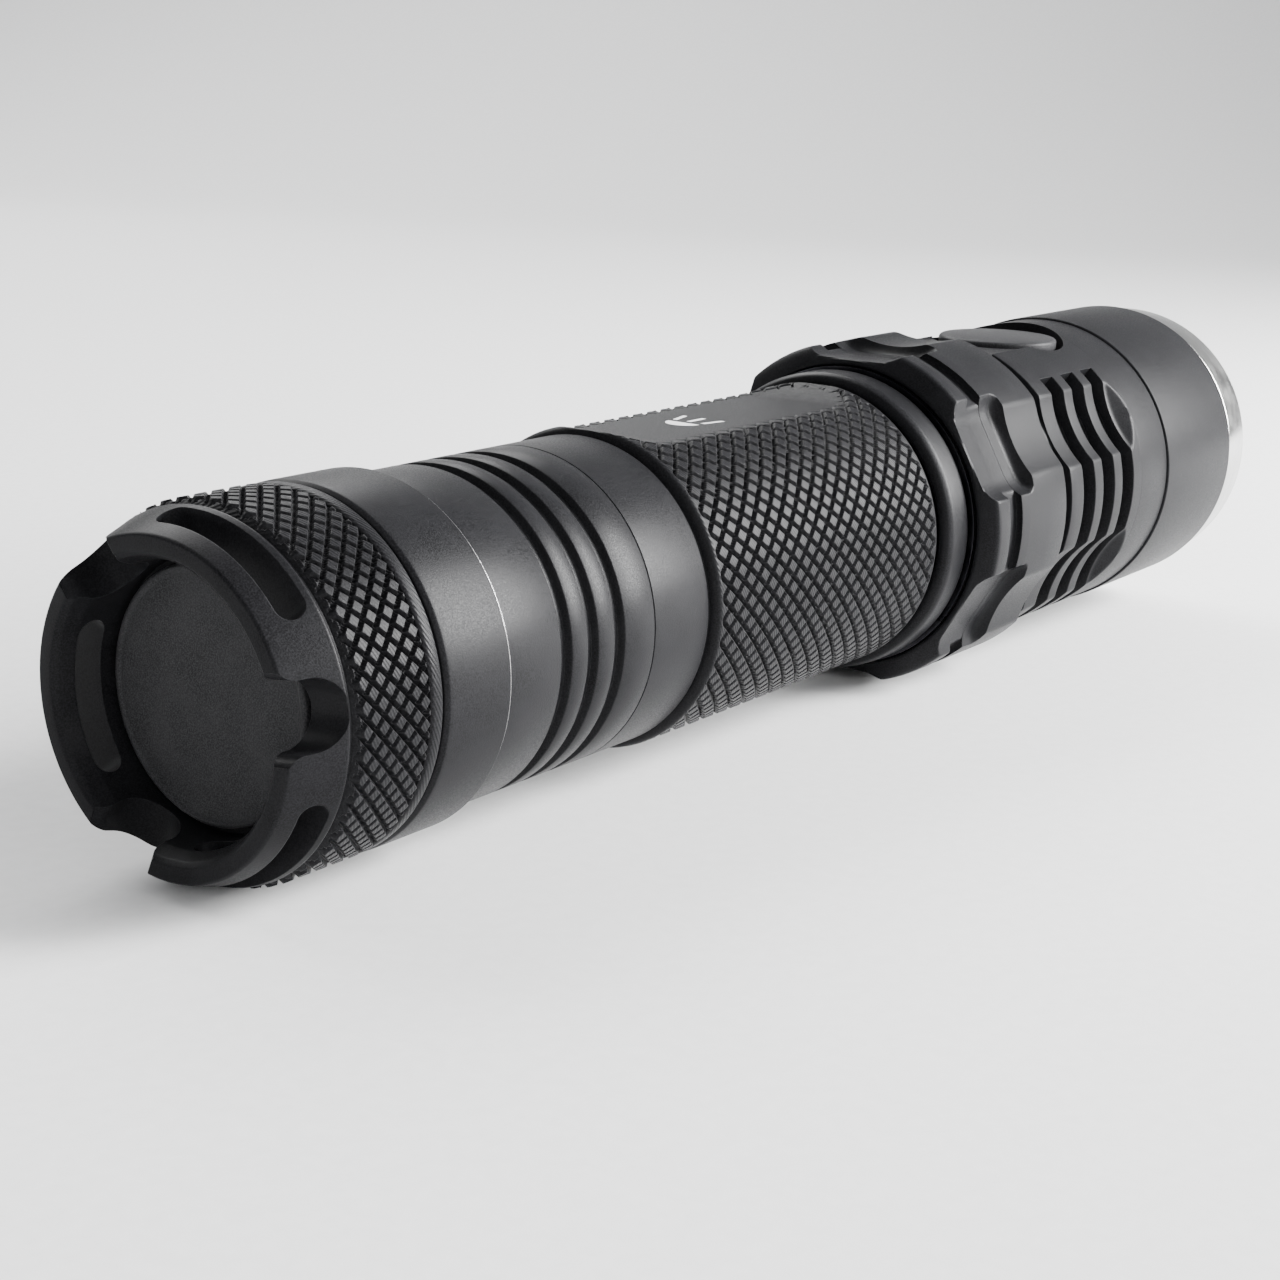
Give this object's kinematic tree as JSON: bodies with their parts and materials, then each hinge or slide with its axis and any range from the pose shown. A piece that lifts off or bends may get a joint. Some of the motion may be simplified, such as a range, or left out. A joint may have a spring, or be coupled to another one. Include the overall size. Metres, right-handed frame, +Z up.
{
  "type": "tactical flashlight",
  "caption": "Hand-held duty flashlight: crowned screw cap with a push button, knurled battery tube, turning selector ring, finned head with a side button, bezel and lens.",
  "frame": {"origin": "middle of the length, under the axis, on the floor that two lands of the selector ring rest on", "axes": "+X along the axis towards the lens, +Z up through the side button, +Y to the left seen from the tail"},
  "size_m": [0.1448, 0.0312, 0.0306],
  "materials": {
    "anodised": "matte black hard anodised, fine grain",
    "button_metal": "bead-blasted dark anodised with a bright turned edge",
    "stainless": "polished stainless steel",
    "spring_steel": "drawn wire",
    "plated_contact": "gold plated",
    "brass": "turned brass",
    "rubber": "moulded, matte",
    "switch_plastic": "moulded",
    "circuit_board": "solder mask",
    "switch_metal": "pressed sheet",
    "cell_steel": "nickel plated",
    "cell_wrap": "shrink film",
    "insulator": "card",
    "magnet": "nickel plated",
    "lens_glass": "toughened, coated",
    "reflector_coat": "aluminised, smooth",
    "white_plastic": "moulded",
    "star_board": "white solder mask",
    "led_ceramic": "phosphor on ceramic",
    "led_silicone": "clear silicone",
    "wire_insulation": "silicone insulation"
  },
  "bodies": {
    "light": {"battery_tube": "anodised", "ring_retainer": "anodised", "wave_washer": "stainless", "ring_orings": "rubber", "detent_ball": "stainless", "detent_spring": "spring_steel", "head_body": "anodised", "rear_oring": "rubber", "front_oring": "rubber", "head_sleeve": "anodised", "bezel_ring": "stainless", "lens": "lens_glass", "lens_gasket": "rubber", "lens_seat": "rubber", "reflector": "reflector_coat", "centring_ring": "white_plastic", "led_board": "star_board", "led_package": "led_ceramic", "led_dome": "led_silicone", "board_screws": "stainless", "led_wires": "wire_insulation", "driver_board": "circuit_board", "driver_parts": "switch_plastic", "driver_ring": "brass", "contact_post": "plated_contact", "contact_spring": "plated_contact", "ring_sensor": "switch_plastic", "side_seal": "rubber", "side_switch": "switch_metal", "side_board": "circuit_board", "side_wires": "wire_insulation"},
    "selector": {"selector_ring": "anodised", "ring_magnet": "magnet"},
    "side_button": {"side_button": "button_metal"},
    "cap_turn": {"tail_oring": "rubber"},
    "tail_cap": {"tail_cap": "anodised", "tail_seal": "rubber", "switch_housing": "switch_plastic", "tail_board": "circuit_board", "switch_ring": "brass", "tail_spring": "plated_contact", "button_spring": "spring_steel"},
    "tail_button": {"tail_button": "button_metal", "switch_plunger": "stainless"},
    "cell": {"cell_can": "cell_steel", "cell_wrap": "cell_wrap", "cell_insulator": "insulator", "cell_cap": "cell_steel"}
  },
  "joints": [
    {"name": "selector_turn", "type": "hinge", "parent": "light", "child": "selector", "pos_m": [0, 0, 0.01528], "axis": [1, 0, 0], "range_deg": [0, 150]},
    {"name": "side_button_press", "type": "slide", "parent": "light", "child": "side_button", "axis": [0, 0, -1], "range_m": [0, 0.0005], "stiffness_N_per_m": 4000},
    {"name": "tail_cap_turn", "type": "hinge", "parent": "light", "child": "cap_turn", "pos_m": [0, 0, 0.01528], "axis": [-1, 0, 0], "range_deg": [0, 1441]},
    {"name": "tail_cap_screw", "type": "slide", "parent": "cap_turn", "child": "tail_cap", "axis": [-1, 0, 0], "range_m": [0, 0.005], "deforming": ["tail_spring"]},
    {"name": "battery_shift", "type": "slide", "parent": "light", "child": "cell", "axis": [-1, 0, 0], "range_m": [0, 0.00251], "deforming": ["contact_spring"]},
    {"name": "tail_button_press", "type": "slide", "parent": "tail_cap", "child": "tail_button", "axis": [1, 0, 0], "range_m": [0, 0.0013], "stiffness_N_per_m": 3000, "deforming": ["button_spring"]}
  ],
  "couplings": [
    {"joint": "tail_cap_turn", "follows": "tail_cap_screw", "rad_per_m": 5026.5},
    {"joint": "battery_shift", "follows": "tail_cap_screw", "ratio": 0.5}
  ]
}
